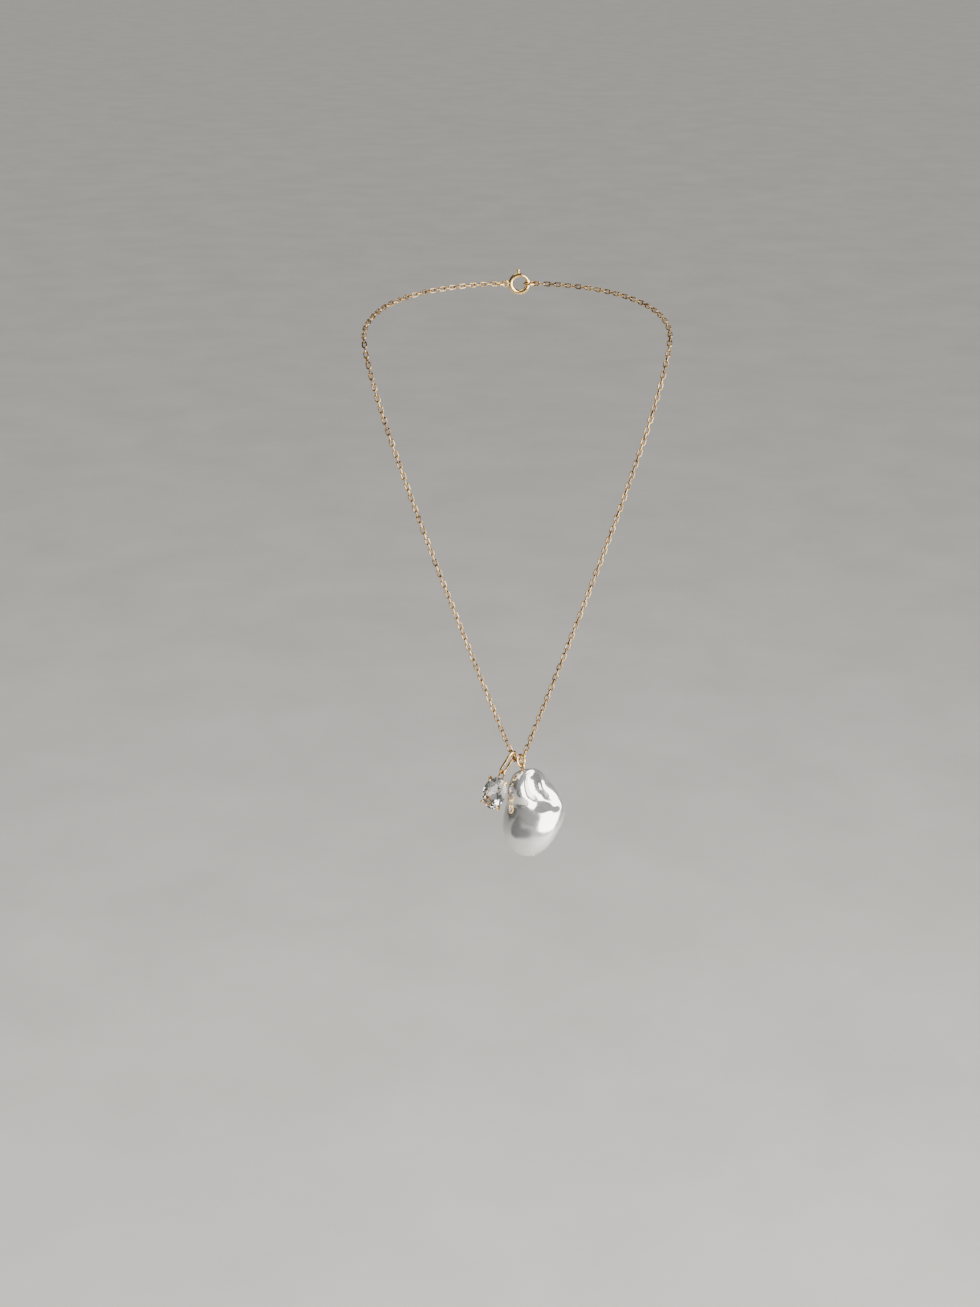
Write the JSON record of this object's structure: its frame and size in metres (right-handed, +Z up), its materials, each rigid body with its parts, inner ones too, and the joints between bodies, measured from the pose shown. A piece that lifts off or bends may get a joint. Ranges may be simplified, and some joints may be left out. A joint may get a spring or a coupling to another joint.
{
  "type": "pendant necklace",
  "caption": "Fine cable chain necklace with a large baroque pearl on a head pin, an oval crystal in a claw setting on an oval bail, and a spring-ring clasp.",
  "frame": {"origin": "middle of the neck opening, level with the widest point of the chain loop", "axes": "+Z up through the neck opening, -Y to the front where the pendants hang, +X to the viewer's right seen from the front"},
  "size_m": [0.094, 0.0832, 0.1704],
  "materials": {
    "antique_gold_chain": "antique gold plate, darkened between the links",
    "polished_gold": "polished gold plate",
    "pearl": "glossy pearl lacquer",
    "crystal": "clear, faceted and polished",
    "spring_steel": "drawn wire"
  },
  "bodies": {
    "root": {"nape_chain_left": "antique_gold_chain", "nape_chain_right": "antique_gold_chain"},
    "chain_level_1": {"chain_left_1": "antique_gold_chain", "chain_right_1": "antique_gold_chain"},
    "chain_level_2": {"chain_left_2": "antique_gold_chain", "chain_right_2": "antique_gold_chain"},
    "chain_level_3": {"chain_left_3": "antique_gold_chain", "chain_right_3": "antique_gold_chain"},
    "chain_level_4": {"chain_left_4": "antique_gold_chain", "chain_right_4": "antique_gold_chain"},
    "chain_level_5": {"chain_left_5": "antique_gold_chain", "chain_right_5": "antique_gold_chain", "apex_link": "antique_gold_chain"},
    "pearl_ring": {"pearl_jump_ring": "polished_gold"},
    "pin": {"head_pin": "polished_gold"},
    "pearl": {"baroque_pearl": "pearl"},
    "bail": {"crystal_bail": "polished_gold"},
    "crystal": {"crystal_setting": "polished_gold", "oval_crystal": "crystal"},
    "tail_ring": {"tail_jump_ring": "polished_gold"},
    "clasp": {"clasp_body": "polished_gold", "clasp_spring": "spring_steel"},
    "bolt": {"clasp_bolt": "polished_gold"},
    "end_ring": {"end_ring": "polished_gold"}
  },
  "joints": [
    {"name": "chain_bend_1", "type": "hinge", "parent": "root", "child": "chain_level_1", "pos_m": [0, -0.01077, -0.01441], "axis": [-1, 0, 0], "range_deg": [-25, 25]},
    {"name": "chain_bend_2", "type": "hinge", "parent": "chain_level_1", "child": "chain_level_2", "pos_m": [0, -0.01852, -0.03626], "axis": [-1, 0, 0], "range_deg": [-25, 25]},
    {"name": "chain_bend_3", "type": "hinge", "parent": "chain_level_2", "child": "chain_level_3", "pos_m": [0, -0.0239, -0.05858], "axis": [-1, 0, 0], "range_deg": [-25, 25]},
    {"name": "chain_bend_4", "type": "hinge", "parent": "chain_level_3", "child": "chain_level_4", "pos_m": [0, -0.028, -0.08107], "axis": [-1, 0, 0], "range_deg": [-25, 25]},
    {"name": "chain_bend_5", "type": "hinge", "parent": "chain_level_4", "child": "chain_level_5", "pos_m": [0, -0.0312, -0.10364], "axis": [-1, 0, 0], "range_deg": [-25, 25]},
    {"name": "pearl_ring_swing", "type": "hinge", "parent": "chain_level_5", "child": "pearl_ring", "pos_m": [0, -0.03283, -0.1255], "axis": [-1, 0, 0], "range_deg": [0, 40]},
    {"name": "pearl_swing", "type": "hinge", "parent": "pearl_ring", "child": "pin", "pos_m": [0.00125, -0.03408, -0.12763], "axis": [-0.6336, -0.7703, 0.0728], "range_deg": [0, 40]},
    {"name": "pearl_turn", "type": "hinge", "parent": "pin", "child": "pearl", "pos_m": [0.00125, -0.03408, -0.1277], "axis": [-0.1132, 0.0935, 0.9892], "range_deg": [-15, 15]},
    {"name": "bail_swing", "type": "hinge", "parent": "chain_level_5", "child": "bail", "pos_m": [-0.00202, -0.03385, -0.12453], "axis": [-0.7154, 0.6148, 0.3319], "range_deg": [0, 30]},
    {"name": "crystal_swing", "type": "hinge", "parent": "bail", "child": "crystal", "pos_m": [-0.00484, -0.03422, -0.12994], "axis": [0, 0.9956, -0.0941], "range_deg": [0, 20]},
    {"name": "tail_ring_swing", "type": "hinge", "parent": "root", "child": "tail_ring", "pos_m": [-0.00566, 0.03764, 0.00799], "axis": [0, 0, 1], "range_deg": [-1, 1]},
    {"name": "clasp_tilt", "type": "hinge", "parent": "tail_ring", "child": "clasp", "pos_m": [-0.00343, 0.03764, 0.00799], "axis": [0, 1, 0], "range_deg": [-1, 1]},
    {"name": "clasp_bolt_draw", "type": "hinge", "parent": "clasp", "child": "bolt", "pos_m": [0.00137, 0.03764, 0.00799], "axis": [0, -1, 0], "range_deg": [0, 60], "stiffness_Nm_per_rad": 0.0005, "springref_deg": -17.19, "deforming": ["clasp_spring"]},
    {"name": "end_ring_swing", "type": "hinge", "parent": "root", "child": "end_ring", "pos_m": [0.00566, 0.03764, 0.00799], "axis": [0, 0, 1], "range_deg": [-2, 2]}
  ]
}
